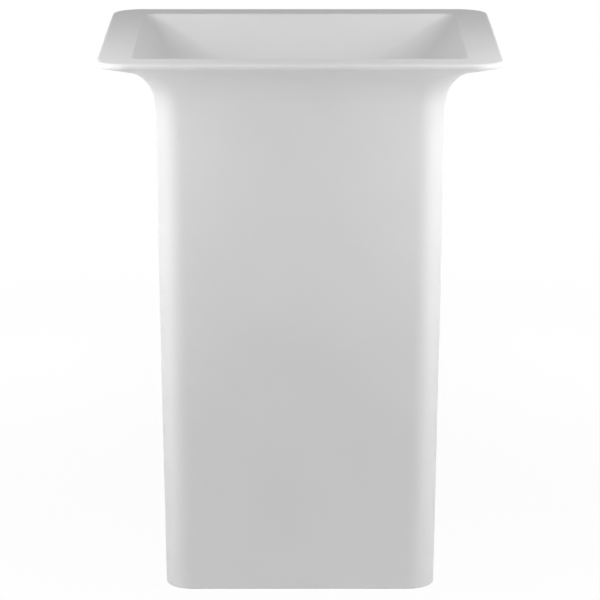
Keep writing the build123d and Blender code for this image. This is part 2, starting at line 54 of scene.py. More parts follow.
# Sizes of the casting's outside and its hollow, as the frame has them
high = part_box("basin_body")[1]
HEIGHT = high.z
HALF_WIDTH = high.x
HALF_DEPTH = high.y
RIM_CORNER = 49 * MM
LIP = 9 * MM
LIP_FLAT = 0.4 * MM
LEDGE = 54 * MM
UNDERSIDE = 18                # below level
LIP_ROUND = (LIP - LIP_FLAT) / (1 + tan(radians((90 - UNDERSIDE) / 2)))
OVERHANG = 85 * MM
COLUMN_CORNER = 42 * MM
DRAFT = 0.87
FLARE = 60 * MM
BLEND = 900 * MM
BLEND_LEAN = 3.5
WALL = 14 * MM
BASE_ROUND = 3 * MM
CEILING_ROUND = 20 * MM

# The bowl and the waste's seat
DRAIN_LEVEL = HEIGHT - 150 * MM
DRAIN_FLOOR = 18 * MM
MOUTH_CORNER = 14 * MM
MOUTH_ROUND = 4 * MM
BOWL_CORNER = 80 * MM
SLOPE_INSET = 51 * MM
SLOPE_DROP = 65 * MM
WALL_LEAN = 87                # below level
WAIST = 30 * MM
FLOOR_BEND = 40 * MM
FLOOR_FALL = 8 * MM
FLOOR_LEAN = 4
DRAIN_EDGE = 35 * MM
DRAIN_EDGE_CORNER = 34 * MM
SEAT_RADIUS = 32.5 * MM
SEAT_DEPTH = 4 * MM
WASTE_HOLE = 23 * MM

# The back of the column: rebate, opening, finger slot and recesses for the keepers
PANEL_HALF_WIDTH = 125 * MM
PANEL_BOTTOM = 90 * MM
PANEL_TOP = 520 * MM
PANEL_CORNER = 16 * MM
PANEL_GAP = 1.5 * MM
PANEL_LEDGE = 20 * MM
PANEL_EDGE_ROUND = 1 * MM
REBATE_DEPTH = 8.3 * MM
KEEPER_HOLE = 7.05 * MM
KEEPER_DEPTH = 1.5 * MM
KEEPER_CUT = 4 * MM           # length of the tool that sinks a keeper's recess
MAGNET_EDGE = 10.5 * MM
FINGER_HALF_WIDTH = 16 * MM
FINGER_OVERLAP = 1 * MM       # of the finger slot and the opening

# Pads and blind holes for the floor brackets
PAD_THICKNESS = 11 * MM
PAD_REACH = 18 * MM           # from the bracket's face into the wall
PAD_LENGTH = 112 * MM
PAD_HEIGHT = 62 * MM
PAD_ROUND = 6 * MM
INSERT_HOLE = 4.55 * MM
INSERT_LENGTH = 12 * MM
SCREW_LEVEL = 34 * MM
SCREW_HALF_SPACING = 25 * MM

# The waste
FLANGE_RADIUS = 32 * MM
FLANGE_THICKNESS = 2.5 * MM
FLANGE_BEVEL = 0.8 * MM
TAIL_RADIUS = 20.95 * MM
TAIL_WALL = 2.45 * MM
TAIL_LENGTH = 78 * MM
MOUTH_BEVEL = 2 * MM
THREAD_PITCH = 2.309 * MM
THREAD_DEPTH = 1 * MM
THREAD_RUNOUT = 3 * MM
THREAD_STEEPNESS = 0.9        # over 0.5, so that crests and roots are cut flat
CROSS_DROP = 38 * MM
CROSS_HEIGHT = 8 * MM
CROSS_WIDTH = 4 * MM
CROSS_ARMS = 3
HUB_RADIUS = 8 * MM
CARTRIDGE_HOLE = 4.05 * MM

# How finely the surfaces are drawn; the places are shares of a straight side, closer at its ends
CORNER_STEPS = 22
SIDE_PLACES = np.array([0.006, 0.03, 0.1, 0.2, 0.3, 0.4, 0.5, 0.6, 0.7, 0.8, 0.9, 0.97, 0.994])
FLAT_MARGIN = 0.8 * MM        # between a flat's end and the row beside it
FLAT_MARGIN_SHARE = 0.25      # of the flat, at most
EDGE_SHARE = 0.01             # of the bowl's floor, between the drain's edge and the row beside it
MOUTH_STEPS = 8
CEILING_STEPS = 12
REBATE_ROUND_STEPS = 4
BARREL_STEPS = 48
BEVEL_STEPS = 5
THREAD_ROWS = 340
TURNED_COLUMNS = 96
TURNED_MARGIN = 0.2 * MM      # between a turned edge and the row beside it
CASTING_SMOOTH = 30           # the least bend that stays a sharp edge
WASTE_SMOOTH = 40
OVERSHOOT = 5 * MM            # of a cutting tool past what it cuts
HAIR = 0.001 * MM             # from the rear face out to where the rebate's edge starts to flare

# The casting's whites, as shares of red, green and blue, and where its rough inside ends
WHITE = (0.72, 0.72, 0.72)
DULLER_WHITE = (0.714, 0.714, 0.714)
BRIGHTER_WHITE = (0.73, 0.73, 0.73)
ROUGH_WHITE = (0.63, 0.625, 0.61)
INSIDE_TOP = DRAIN_LEVEL - DRAIN_FLOOR + 6 * MM       # a little above the hollow's ceiling
INSIDE_FADE = 2 * MM

# Sockets of the node that mixes two colours
MIX_FIRST, MIX_SECOND, MIX_RESULT = 6, 7, 2


class Wire:
    """An output of a shader node. Arithmetic on wires and numbers adds Math nodes."""

    def __init__(self, nodes, socket):
        self.nodes = nodes
        self.socket = socket

    def math(self, operation, first, second=0.0):
        return self.nodes.add("ShaderNodeMath", {"operation": operation}, {0: first, 1: second})

    def __add__(self, other):
        return self.math("ADD", self, other)

    def __radd__(self, other):
        return self.math("ADD", other, self)

    def __sub__(self, other):
        return self.math("SUBTRACT", self, other)

    def __rsub__(self, other):
        return self.math("SUBTRACT", other, self)

    def __mul__(self, other):
        return self.math("MULTIPLY", self, other)

    def __rmul__(self, other):
        return self.math("MULTIPLY", other, self)

    def root(self):
        return self.math("SQRT", self)

    def size(self):
        return self.math("ABSOLUTE", self)

    def larger(self, other):
        return self.math("MAXIMUM", self, other)

    def smaller(self, other):
        return self.math("MINIMUM", self, other)

    def sine(self):
        return self.math("SINE", self)

    def steps(self, start, end):
        """0 below start, 1 above end and smooth between."""
        inputs = {"Value": self, "From Min": start, "From Max": end}
        return self.nodes.add("ShaderNodeMapRange", {"interpolation_type": "SMOOTHSTEP"}, inputs)


class Nodes:
    """The shader nodes of a material or of the world."""

    def __init__(self, owner):
        owner.use_nodes = True
        self.tree = owner.node_tree
        self.tree.nodes.clear()

    def feed(self, socket, value):
        """Links a wire to a socket, or sets the socket to a plain value."""
        if isinstance(value, Wire):
            self.tree.links.new(value.socket, socket)
        else:
            socket.default_value = value

    def add(self, kind, settings=None, inputs=None, output=0):
        """A node, its settings made first and then its inputs; gives one of its outputs as a wire."""
        node = self.tree.nodes.new(kind)
        for name, value in (settings or {}).items():
            setattr(node, name, value)
        for name, value in (inputs or {}).items():
            self.feed(node.inputs[name], value)
        return Wire(self, node.outputs[output]) if len(node.outputs) else None

    def seen(self):
        """1 for what the camera sees straight, in gloss or through glass, and 0 for all other light."""
        rays = self.add("ShaderNodeLightPath", output="Is Camera Ray")
        for ray in ("Is Glossy Ray", "Is Transmission Ray"):
            rays = rays.larger(self.add("ShaderNodeLightPath", output=ray))
        return rays


class Finish(Nodes):
    """A material: a Principled shader and the wires that vary it over the surface."""

    def __init__(self, name, color, roughness, metallic=0.0):
        self.material = bpy.data.materials.new(name)
        super().__init__(self.material)
        opaque = (*color, 1.0)
        inputs = {"Base Color": opaque, "Roughness": roughness, "Metallic": metallic}
        self.shader = self.add("ShaderNodeBsdfPrincipled", inputs=inputs)
        self.place = self.add("ShaderNodeTexCoord", output="Object")
        self.material.diffuse_color = opaque
        self.material.roughness = roughness
        self.material.metallic = metallic

    def set(self, name, value):
        """Sets or links an input of the Principled shader."""
        self.feed(self.shader.socket.node.inputs[name], value)

    def done(self, surface=None):
        """The material, which shows the surface given, or else its Principled shader."""
        self.add("ShaderNodeOutputMaterial", inputs={"Surface": surface or self.shader})
        return self.material

    def axes(self):
        """X, Y and Z of the place, in metres, as three wires."""
        parts = self.add("ShaderNodeSeparateXYZ", inputs={0: self.place})
        return [Wire(self, axis) for axis in parts.socket.node.outputs]

    def noise(self, per_metre, detail, roughness=0.5):
        """Soft noise from 0 to 1, with that many waves to the metre."""
        inputs = {"Vector": self.place, "Scale": per_metre, "Detail": detail, "Roughness": roughness}
        return self.add("ShaderNodeTexNoise", inputs=inputs)

    def cells(self, per_metre):
        """Distance to the nearest of scattered points, with that many cells to the metre."""
        return self.add("ShaderNodeTexVoronoi", inputs={"Vector": self.place, "Scale": per_metre})

    def tint(self, share, first, second):
        """A colour that goes from the first to the second as the share goes from 0 to 1."""
        start = first if isinstance(first, Wire) else (*first, 1.0)
        inputs = {0: share, MIX_FIRST: start, MIX_SECOND: (*second, 1.0)}
        return self.add("ShaderNodeMix", {"data_type": "RGBA"}, inputs, output=MIX_RESULT)

    def relief(self, height, depth, strength):
        """Bumps the surface by a height from 0 to 1, whose depth is in metres."""
        inputs = {"Strength": strength, "Distance": depth, "Height": height}
        self.set("Normal", self.add("ShaderNodeBump", inputs=inputs))


def casting_finish():
    """Matt white casting: a faint cloudiness, fine pores, and a rougher, greyer inside of the column.

    The inside is where a point lies deeper than half the wall behind the column's leaning outline: its
    distance from a rounded rectangle is the length of how far it is past the corner's centre, less the
    corner's radius.
    """
    finish = Finish("cast_white", WHITE, 0.55)
    x, y, z = finish.axes()
    lean = z * tan(radians(DRAFT))
    past_x = x.size() - (HALF_WIDTH - BASE_INSET - COLUMN_CORNER) - lean
    past_y = y.size() - (HALF_DEPTH - BASE_INSET - COLUMN_CORNER) - lean
    corner_x, corner_y = past_x.larger(0.0), past_y.larger(0.0)
    reach = (corner_x * corner_x + corner_y * corner_y).root() + past_x.larger(past_y).smaller(0.0)
    behind = COLUMN_CORNER - reach
    hidden = behind.steps(WALL * 0.45, WALL * 0.55) * (1 - z.steps(INSIDE_TOP, INSIDE_TOP + INSIDE_FADE))
    cloud = finish.noise(per_metre=7.0, detail=3.0)
    grain = finish.noise(per_metre=900.0, detail=2.0)
    ripple = finish.noise(per_metre=60.0, detail=1.0)
    pits = finish.noise(per_metre=180.0, detail=4.0)
    outside = finish.tint(cloud.steps(0.3, 0.7), DULLER_WHITE, BRIGHTER_WHITE)
    finish.set("Base Color", finish.tint(hidden, outside, ROUGH_WHITE))
    finish.set("Roughness", 0.51 + 0.05 * cloud + 0.03 * grain + 0.25 * hidden)
    height = ripple * 0.5 + grain * 0.25 + hidden * pits * 6.0
    finish.relief(height, depth=0.05 * MM, strength=0.35)
    return finish.done()


def plug_finish():
    """Matt white of the plug, in the tone of the casting, with a closer and smoother grain."""
    finish = Finish("plug_white", WHITE, 0.42)
    cloud = finish.noise(per_metre=22.0, detail=2.0)
    grain = finish.noise(per_metre=1500.0, detail=2.0)
    white = finish.tint(cloud.steps(0.3, 0.7), (0.716, 0.716, 0.716), (0.728, 0.728, 0.728))
    finish.set("Base Color", white)
    finish.set("Roughness", 0.39 + 0.03 * cloud + 0.04 * grain)
    finish.relief(grain * 0.6 + cloud * 0.4, depth=0.01 * MM, strength=0.4)
    return finish.done()


def chrome_finish():
    """Polished chrome: a bluish plate with a faint haze, and rings left by dried drops."""
    finish = Finish("chrome_plate", (0.62, 0.63, 0.65), 0.08, metallic=1.0)
    haze = finish.noise(per_metre=70.0, detail=4.0)
    drops = finish.cells(per_metre=230.0)
    rings = (1 - (drops - 0.3).size() * 14.0).larger(0.0) * haze.steps(0.5, 0.6)
    plate = finish.tint(haze.steps(0.35, 0.7), (0.60, 0.615, 0.64), (0.66, 0.665, 0.67))
    finish.set("Base Color", plate)
    finish.set("Roughness", 0.05 + 0.06 * haze + 0.12 * rings)
    finish.relief(haze * 0.6 + rings * 0.4, depth=0.004 * MM, strength=0.3)
    return finish.done()


def turned_finish(name, fresh, dull, roughness, ring_width):
    """Turned metal: tool rings round the upright axis, each a ring's width apart, and duller patches.

    The ring is a sine of the distance from the axis and of the height together.
    """
    finish = Finish(name, fresh, roughness, metallic=1.0)
    x, y, z = finish.axes()
    patches = finish.noise(per_metre=55.0, detail=4.0)
    scratches = finish.noise(per_metre=1300.0, detail=3.0)
    radius = (x * x + y * y).root()
    rings = ((radius + z) * (2 * pi / ring_width) + patches * 2.0).sine() * 0.5 + 0.5
    worn = patches.steps(0.42, 0.7)
    finish.set("Base Color", finish.tint(patches.steps(0.42, 0.66), fresh, dull))
    finish.set("Roughness", roughness + 0.14 * worn + 0.05 * rings + 0.04 * scratches)
    finish.relief(rings * 0.7 + scratches * 0.3, depth=0.006 * MM, strength=0.4)
    return finish.done()


def moulded_finish(name, fresh, faded, roughness, grain_depth):
    """Moulded plastic or rubber: slow drifts of colour, flow lines round the piece and a fine grain."""
    finish = Finish(name, fresh, roughness)
    z = finish.axes()[2]
    drift = finish.noise(per_metre=35.0, detail=3.0)
    grain = finish.noise(per_metre=2400.0, detail=2.0)
    flow = (z * 900.0 + drift * 7.0).sine() * 0.5 + 0.5
    finish.set("Base Color", finish.tint(drift.steps(0.35, 0.65) * 0.7 + flow * 0.3, fresh, faded))
    finish.set("Roughness", roughness + 0.08 * (drift - 0.5) + 0.03 * flow + 0.05 * (grain - 0.5))
    finish.relief(grain * 0.8 + flow * 0.2, grain_depth, strength=0.5)
    return finish.done()


def zinc_finish():
    """Zinc-plated steel: crystal flakes of slightly different greys, rolled lines and white bloom."""
    finish = Finish("steel", (0.53, 0.54, 0.55), 0.36, metallic=1.0)
    flakes = finish.cells(per_metre=190.0)
    fine = finish.noise(per_metre=800.0, detail=3.0)
    bloom = finish.noise(per_metre=28.0, detail=5.0, roughness=0.6).steps(0.56, 0.72)
    share = flakes.steps(0.1, 0.75) * 0.7 + fine * 0.3
    grey = finish.tint(share, (0.49, 0.505, 0.525), (0.61, 0.615, 0.62))
    finish.set("Base Color", finish.tint(bloom * 0.6, grey, (0.66, 0.67, 0.66)))
    finish.set("Metallic", 1 - 0.35 * bloom)
    finish.set("Roughness", 0.3 + 0.16 * flakes + 0.2 * bloom + 0.05 * fine)
    finish.relief(flakes * 0.4 + fine * 0.6, depth=0.008 * MM, strength=0.5)
    return finish.done()


def put_in_scene(name, data):
    """An object at the origin that shows a mesh, a lamp or a camera."""
    placed = bpy.data.objects.new(name, data)
    bpy.context.scene.collection.objects.link(placed)
    return placed


def make_piece(name, points, faces, finish):
    """An object at the origin whose mesh has these points and faces and one finish."""
    mesh = bpy.data.meshes.new(name)
    mesh.from_pydata(points.tolist(), [], faces.tolist())
    mesh.materials.append(FINISHES[finish])
    return put_in_scene(name, mesh)


def smooth(mesh, below):
    """Shades a mesh smooth across the edges that bend by less than some degrees."""
    mesh.polygons.foreach_set("use_smooth", np.ones(len(mesh.polygons), dtype=bool))
    mesh.set_sharp_from_angle(angle=radians(below))
    mesh.update()


def loop_pattern():
    """Centre signs and angles round one loop: each corner's quarter turn, then the side to the next.

    The plan of every level is a rounded rectangle, so its loop is written once, as two unit patterns:
    the corner's centre, from -1 to 1, which slides along the straight sides, and the direction of the
    corner's radius.
    """
    signs = np.array([(1, 1), (-1, 1), (-1, -1), (1, -1)], dtype=float)
    centres, angles = [], []
    for corner in range(4):
        turn = np.linspace(corner, corner + 1, CORNER_STEPS + 1) * pi / 2
        centres.append(np.repeat(signs[corner][None], CORNER_STEPS + 1, axis=0))
        angles.append(turn)
        following = signs[(corner + 1) % 4]
        centres.append(signs[corner] + SIDE_PLACES[:, None] * (following - signs[corner]))
        angles.append(np.full(len(SIDE_PLACES), turn[-1]))
    return np.concatenate(centres), np.concatenate(angles)


LOOP_CENTRES, LOOP_ANGLES = loop_pattern()


def plan_surface(stations):
    """Grid of points over stations (half width, half depth, corner radius, level).

    A point is the corner's centre, which lies (half size - radius) from the middle times its sign, plus
    the radius along (cos, sin) of the loop's angle, at the station's level.
    """
    half_x, half_y, corner, level = stations.T[:, :, None]
    x = (half_x - corner) * LOOP_CENTRES[:, 0] + corner * np.cos(LOOP_ANGLES)
    y = (half_y - corner) * LOOP_CENTRES[:, 1] + corner * np.sin(LOOP_ANGLES)
    z = np.broadcast_to(level, x.shape)
    return np.stack([x, y, z], axis=-1)


def turned_surface(profile):
    """Grid of points of a profile (radius, level) turned round Z: (radius cos a, radius sin a, level)."""
    angle = np.linspace(0, 2 * pi, TURNED_COLUMNS, endpoint=False)
    radius, level = profile.T[:, :, None]
    x = radius * np.cos(angle)
    return np.stack([x, radius * np.sin(angle), np.broadcast_to(level, x.shape)], axis=-1)


def grid_faces(rows, columns, closed_rows):
    """Quads of a grid whose columns close on themselves, and whose rows may."""
    row = np.arange(rows if closed_rows else rows - 1)[:, None]
    column = np.arange(columns)[None]
    next_row = (row + 1) % rows
    next_column = (column + 1) % columns
    corners = [
        row * columns + column,
        row * columns + next_column,
        next_row * columns + next_column,
        next_row * columns + column,
    ]
    shape = (len(row), columns)
    return np.stack([np.broadcast_to(corner, shape) for corner in corners], axis=-1).reshape(-1, 4)


def bend(start, radius, first, last, steps, way=1):
    """Stations (inset, level) along an arc whose heading turns from first to last degrees below level.

    From the start, the arc goes radius * |sin - sin(first)| across and radius * |cos - cos(first)| down.
    """
    heading = np.radians(np.linspace(first, last, steps + 1)[1:])
    across = radius * np.abs(np.sin(heading) - sin(radians(first)))
    down = radius * np.abs(np.cos(heading) - cos(radians(first)))
    return np.stack([start[0] + way * across, start[1] - down], axis=-1)


def straight(start, end, steps):
    """Stations of a straight run after its start, close together at both ends so that flats stay flat."""
    length = hypot(end[0] - start[0], end[1] - start[1])
    near = min(FLAT_MARGIN / length, FLAT_MARGIN_SHARE)
    shares = np.concatenate([[near], np.linspace(0, 1, steps + 1)[1:-1], [1 - near, 1.0]])
    return np.array(start) + shares[:, None] * (np.array(end) - np.array(start))


def between(first, last, steps):
    """Stations evenly between two, without them."""
    share = np.linspace(0, 1, steps + 1)[1:-1, None]
    return first * (1 - share) + last * share


def corner_at(inset):
    """Corner radius of the outside, which goes evenly from the rim's to the column's over the overhang."""
    return RIM_CORNER + (COLUMN_CORNER - RIM_CORNER) * np.minimum(inset / OVERHANG, 1)


def rim_stations():
    """Stations of the casting's outside, from the ledge round the lip and down to the floor.

    Also gives how far in from the rim the column's outline meets the floor.
    """
    lip_bottom = HEIGHT - LIP
    draft_heading, blend_heading = 90 - DRAFT, 90 - BLEND_LEAN
    flare_across = FLARE * (sin(radians(blend_heading)) - sin(radians(UNDERSIDE)))
    blend_across = BLEND * (sin(radians(draft_heading)) - sin(radians(blend_heading)))
    run = OVERHANG - flare_across - blend_across

    upper_start = (LIP_ROUND, HEIGHT)
    upper = bend(upper_start, LIP_ROUND, first=0, last=90, steps=10, way=-1)
    lower_start = (0.0, lip_bottom + LIP_ROUND * tan(radians((90 - UNDERSIDE) / 2)))
    lower = bend(lower_start, LIP_ROUND, first=90, last=UNDERSIDE, steps=9)
    lip = np.concatenate([[upper_start], upper, [lower_start], lower])

    flare_top = (run, lip_bottom - run * tan(radians(UNDERSIDE)))
    underside = straight(lip[-1], flare_top, steps=4)
    flare = bend(flare_top, FLARE, first=UNDERSIDE, last=blend_heading, steps=30)
    blend = bend(flare[-1], BLEND, first=blend_heading, last=draft_heading, steps=8)
    foot_inset = OVERHANG + blend[-1][1] * tan(radians(DRAFT))
    round_reach = BASE_ROUND * tan(radians(draft_heading / 2))
    round_top = (foot_inset - round_reach * sin(radians(DRAFT)), round_reach * cos(radians(DRAFT)))
    wall = straight(blend[-1], round_top, steps=16)
    base = bend(round_top, BASE_ROUND, first=draft_heading, last=0, steps=6)
    base[:, 1] = np.maximum(base[:, 1], 0)
    rest = np.concatenate([flare, blend, wall, base])

    lip_corner = RIM_CORNER - lip[:, 0]
    under_share = np.linspace(0, 1, len(underside) + 1)[1:]
    under_corner = lip_corner[-1] + (corner_at(flare_top[0]) - lip_corner[-1]) * under_share
    corner = np.concatenate([lip_corner, under_corner, corner_at(rest[:, 0])])
    inset, level = np.concatenate([lip, underside, rest]).T
    return np.stack([HALF_WIDTH - inset, HALF_DEPTH - inset, corner, level], axis=-1), foot_inset


OUTSIDE, BASE_INSET = rim_stations()
BRACKET_FACE = HALF_WIDTH - BASE_INSET - WALL - PAD_THICKNESS


def hollow_stations():
    """Stations of the column's inside, from the floor up to its rounded ceiling and the waste's hole."""
    ceiling_level = DRAIN_LEVEL - DRAIN_FLOOR
    foot = (BASE_INSET + WALL, 0.0)
    wall_top = ceiling_level - CEILING_ROUND * tan(radians((90 + DRAFT) / 2))
    wall = straight(foot, (foot[0] - wall_top * tan(radians(DRAFT)), wall_top), steps=10)
    # The ceiling's round turns from the leaning wall to level.
    turn = np.radians(np.linspace(90 + DRAFT, 0, CEILING_STEPS + 1)[1:])
    across = CEILING_ROUND * (sin(radians(90 + DRAFT)) - np.sin(turn))
    up = CEILING_ROUND * (np.cos(turn) - cos(radians(90 + DRAFT)))
    ceiling = np.stack([wall[-1][0] + across, wall[-1][1] + up], axis=-1)
    inset, level = np.concatenate([[foot], wall, ceiling]).T
    corner = COLUMN_CORNER - WALL - np.concatenate([np.zeros(len(wall) + 1), across])
    stations = np.stack([HALF_WIDTH - inset, HALF_DEPTH - inset, corner, level], axis=-1)
    hole = np.array([(WASTE_HOLE, WASTE_HOLE, WASTE_HOLE, ceiling_level)])
    return np.concatenate([stations, between(stations[-1], hole[0], steps=4), hole])


def bowl_stations():
    """Stations of the waste's seat and the bowl, from the hole up to the ledge."""
    slope_heading = degrees(atan2(SLOPE_DROP, SLOPE_INSET))
    reach = MOUTH_ROUND * tan(radians(slope_heading / 2))
    ledge_end = (-reach, HEIGHT)
    rounding = bend(ledge_end, MOUTH_ROUND, first=0, last=slope_heading, steps=MOUTH_STEPS)
    slope_foot = (SLOPE_INSET, HEIGHT - SLOPE_DROP)
    slope = straight(rounding[-1], slope_foot, steps=10)
    waist = bend(slope_foot, WAIST, first=slope_heading, last=WALL_LEAN, steps=10)
    floor_edge = DRAIN_LEVEL + FLOOR_FALL
    bend_level = floor_edge + FLOOR_BEND * (cos(radians(FLOOR_LEAN)) - cos(radians(WALL_LEAN)))
    bend_inset = waist[-1][0] + (waist[-1][1] - bend_level) / tan(radians(WALL_LEAN))
    wall = straight(waist[-1], (bend_inset, bend_level), steps=3)
    floor = bend((bend_inset, bend_level), FLOOR_BEND, first=WALL_LEAN, last=FLOOR_LEAN, steps=18)
    inset, level = np.concatenate([[ledge_end], rounding, slope, waist, wall, floor]).T

    # The corner opens down the slope and closes over the floor's bend, as an offset outline does.
    opening = np.clip(inset / SLOPE_INSET, 0, 1)
    closing = np.maximum(inset - bend_inset, 0)
    corner = MOUTH_CORNER + (BOWL_CORNER - MOUTH_CORNER) * opening - closing
    corner[0] = MOUTH_CORNER + reach
    corner[:MOUTH_STEPS + 1] = np.linspace(corner[0], corner[MOUTH_STEPS], MOUTH_STEPS + 1)
    mouth_x, mouth_y = HALF_WIDTH - LEDGE, HALF_DEPTH - LEDGE
    bowl = np.stack([mouth_x - inset, mouth_y - inset, corner, level], axis=-1)

    seat_level = DRAIN_LEVEL - SEAT_DEPTH
    drain = np.array([
        (WASTE_HOLE, WASTE_HOLE, WASTE_HOLE, seat_level),
        (SEAT_RADIUS, SEAT_RADIUS, SEAT_RADIUS, seat_level),
        (SEAT_RADIUS, SEAT_RADIUS, SEAT_RADIUS, DRAIN_LEVEL),
        (DRAIN_EDGE, DRAIN_EDGE, DRAIN_EDGE_CORNER, DRAIN_LEVEL),
    ])
    beside_edge = drain[-1] * (1 - EDGE_SHARE) + bowl[-1] * EDGE_SHARE
    return np.concatenate([drain, [beside_edge], between(beside_edge, bowl[-1], steps=10), bowl[::-1]])


def solid_between(loops):
    """Points and faces of a closed solid over a stack of loops, capped at both ends."""
    rows, columns = loops.shape[:2]
    faces = grid_faces(rows, columns, closed_rows=False).tolist()
    bottom = list(range(columns))[::-1]
    top = [(rows - 1) * columns + column for column in range(columns)]
    return loops.reshape(-1, 3), faces + [bottom, top]


def rear_face(level):
    """Y of the column's leaning rear face at a height."""
    return HALF_DEPTH - BASE_INSET + level * tan(radians(DRAFT))


def rear_slab(half_width, bottom, top, corner, depths, growths):
    """Loops of a rounded slab in the leaning rear wall, which may grow at each depth behind the face.

    A loop is a rounded rectangle in X and Z whose corners' radius takes up the growth; Y follows the lean.
    """
    middle, half_height = (top + bottom) / 2, (top - bottom) / 2
    loops = []
    for depth, growth in zip(depths, growths):
        x = (half_width - corner) * LOOP_CENTRES[:, 0] + (corner + growth) * np.cos(LOOP_ANGLES)
        z = middle + (half_height - corner) * LOOP_CENTRES[:, 1] + (corner + growth) * np.sin(LOOP_ANGLES)
        loops.append(np.stack([x, rear_face(z) - depth, z], axis=-1))
    return np.stack(loops)


def barrel(centre, axis, radius, length):
    """Loops of a cylinder from a centre along an axis."""
    axis = Vector(axis).normalized()
    across = axis.orthogonal().normalized()
    other = axis.cross(across)
    angle = np.linspace(0, 2 * pi, BARREL_STEPS, endpoint=False)[:, None]
    circle = radius * (np.cos(angle) * np.array(across) + np.sin(angle) * np.array(other))
    return np.stack([np.array(centre) + circle, np.array(centre) + circle + length * np.array(axis)])


def block(low_corner, high_corner, corner=0.0):
    """Loops of an upright block, with rounded upright edges where a corner radius is given."""
    centre = (np.array(low_corner) + np.array(high_corner)) / 2
    half = (np.array(high_corner) - np.array(low_corner)) / 2
    x = centre[0] + (half[0] - corner) * LOOP_CENTRES[:, 0] + corner * np.cos(LOOP_ANGLES)
    y = centre[1] + (half[1] - corner) * LOOP_CENTRES[:, 1] + corner * np.sin(LOOP_ANGLES)
    levels = (low_corner[2], high_corner[2])
    return np.stack([np.stack([x, y, np.full_like(x, level)], axis=-1) for level in levels])


def tool_of(name, solids):
    """One hidden mesh of separate closed solids, to join to or cut from another."""
    points, faces = [], []
    for loops in solids:
        solid_points, solid_faces = solid_between(loops)
        start = len(points)
        points.extend(solid_points.tolist())
        faces.extend([[index + start for index in face] for face in solid_faces])
    mesh = bpy.data.meshes.new(name)
    mesh.from_pydata(points, [], faces)
    mesh.validate()
    return put_in_scene(name, mesh)


def carve(piece, cuts):
    """Joins or cuts each tool in turn, keeps the result as the piece's mesh and removes the tools."""
    for operation, tool in cuts:
        modifier = piece.modifiers.new(tool.name, "BOOLEAN")
        modifier.operation = operation
        modifier.solver = "MANIFOLD"
        modifier.object = tool
    bpy.context.view_layer.update()
    carved = bpy.data.meshes.new_from_object(piece.evaluated_get(bpy.context.evaluated_depsgraph_get()))
    piece.modifiers.clear()
    piece.data = carved
    for _, tool in cuts:
        bpy.data.objects.remove(tool)


def rebate_tool():
    """The rebate that the panel lies in, whose outer edge flares by a small round."""
    turn = np.radians(np.linspace(0, 90, REBATE_ROUND_STEPS + 1))
    flare_depths = PANEL_EDGE_ROUND * (1 - np.cos(turn))
    flare_growths = PANEL_EDGE_ROUND * (1 - np.sin(turn))
    return tool_of("rebate", [rear_slab(
        PANEL_HALF_WIDTH + PANEL_GAP,
        PANEL_BOTTOM - PANEL_GAP,
        PANEL_TOP + PANEL_GAP,
        PANEL_CORNER + PANEL_GAP,
        depths=[-OVERSHOOT, -HAIR, *flare_depths[1:], REBATE_DEPTH],
        growths=[PANEL_EDGE_ROUND, PANEL_EDGE_ROUND, *flare_growths[1:], 0.0],
    )])


def service_tool():
    """The opening behind the panel, smaller than the rebate by the ledge that the panel rests on."""
    return tool_of("service", [rear_slab(
        PANEL_HALF_WIDTH - PANEL_LEDGE,
        PANEL_BOTTOM + PANEL_LEDGE,
        PANEL_TOP - PANEL_LEDGE,
        PANEL_CORNER,
        depths=[REBATE_DEPTH / 2, WALL + OVERSHOOT],
        growths=[0.0, 0.0],
    )])


def finger_slot_tool():
    """The slot for a finger, through the ledge at the panel's lower edge."""
    face = rear_face(PANEL_BOTTOM)
    return tool_of("finger_slot", [block(
        (-FINGER_HALF_WIDTH, face - WALL - OVERSHOOT, PANEL_BOTTOM - PANEL_GAP),
        (FINGER_HALF_WIDTH, face + OVERSHOOT, PANEL_BOTTOM + PANEL_LEDGE + FINGER_OVERLAP),
    )])


def keeper_tool():
    """The four round recesses for the keepers, square to the leaning face."""
    outward = np.array((0, cos(radians(DRAFT)), -sin(radians(DRAFT))))
    edge = MAGNET_EDGE + PANEL_CORNER
    recesses = []
    for side in (-1, 1):
        for level in (PANEL_BOTTOM + edge, PANEL_TOP - edge):
            face = np.array((side * (PANEL_HALF_WIDTH - MAGNET_EDGE), rear_face(level), level))
            bottom = face - outward * (REBATE_DEPTH + KEEPER_DEPTH)
            recesses.append(barrel(bottom, outward, KEEPER_HOLE, KEEPER_CUT))
    return tool_of("keeper_holes", recesses)


def pad_tool():
    """The two pads that the floor brackets screw to."""
    pads = []
    for side in (-1, 1):
        low_x, high_x = sorted((side * BRACKET_FACE, side * (BRACKET_FACE + PAD_REACH)))
        pads.append(block((low_x, -PAD_LENGTH / 2, 0.0), (high_x, PAD_LENGTH / 2, PAD_HEIGHT), PAD_ROUND))
    return tool_of("pads", pads)


def insert_tool():
    """The four blind holes for the threaded inserts."""
    holes = []
    for side in (-1, 1):
        for y in (-SCREW_HALF_SPACING, SCREW_HALF_SPACING):
            bottom = (side * (BRACKET_FACE + INSERT_LENGTH), y, SCREW_LEVEL)
            holes.append(barrel(bottom, (-side, 0, 0), INSERT_HOLE, INSERT_LENGTH + OVERSHOOT))
    return tool_of("insert_holes", holes)


